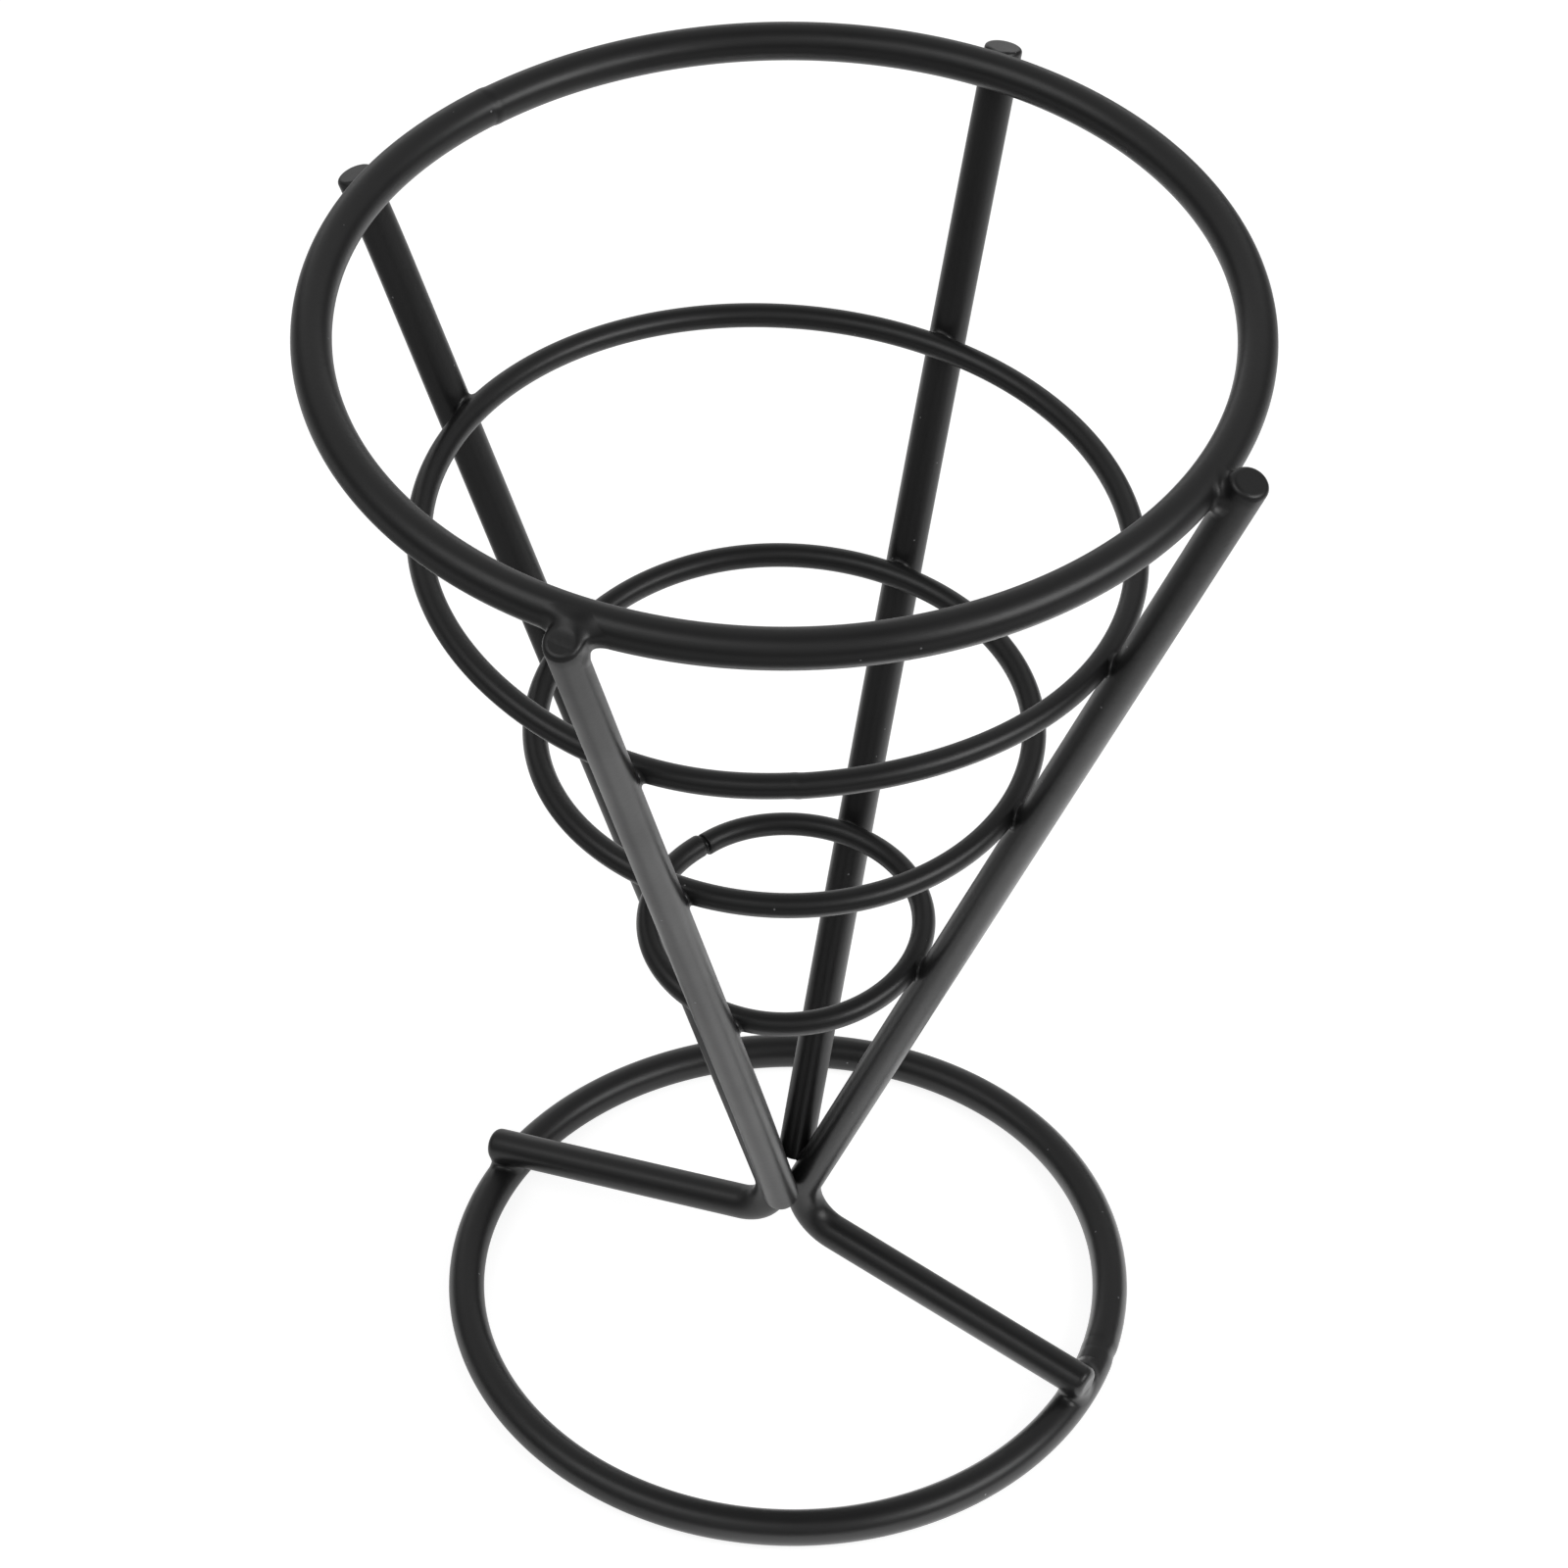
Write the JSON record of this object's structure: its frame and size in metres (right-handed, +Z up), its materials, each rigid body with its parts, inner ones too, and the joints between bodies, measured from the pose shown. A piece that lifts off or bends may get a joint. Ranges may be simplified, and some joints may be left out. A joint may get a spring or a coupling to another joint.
{
  "type": "food cone stand",
  "caption": "Welded round-wire stand that holds a paper cone of fries or snacks upright over a ring foot.",
  "frame": {"origin": "on the table, straight under the middle of the rim", "axes": "+Z up along the cone; the two bent rods and their feet lie along X, the straight rods along Y, front towards -Y"},
  "size_m": [0.1348, 0.1342, 0.1869],
  "materials": {
    "wire_coat": "satin black powder coat on steel wire",
    "weld_coat": "satin black powder coat over welds"
  },
  "bodies": {
    "root": {"rim_ring": "wire_coat", "upper_hoop": "wire_coat", "middle_hoop": "wire_coat", "lower_hoop": "wire_coat", "base_ring": "wire_coat", "left_bent_rod": "wire_coat", "right_bent_rod": "wire_coat", "back_rod": "wire_coat", "front_rod": "wire_coat", "rim_welds": "weld_coat", "upper_hoop_welds": "weld_coat", "middle_hoop_welds": "weld_coat", "lower_hoop_welds": "weld_coat", "foot_welds": "weld_coat", "apex_welds": "weld_coat", "ring_joints": "weld_coat"}
  },
  "joints": []
}
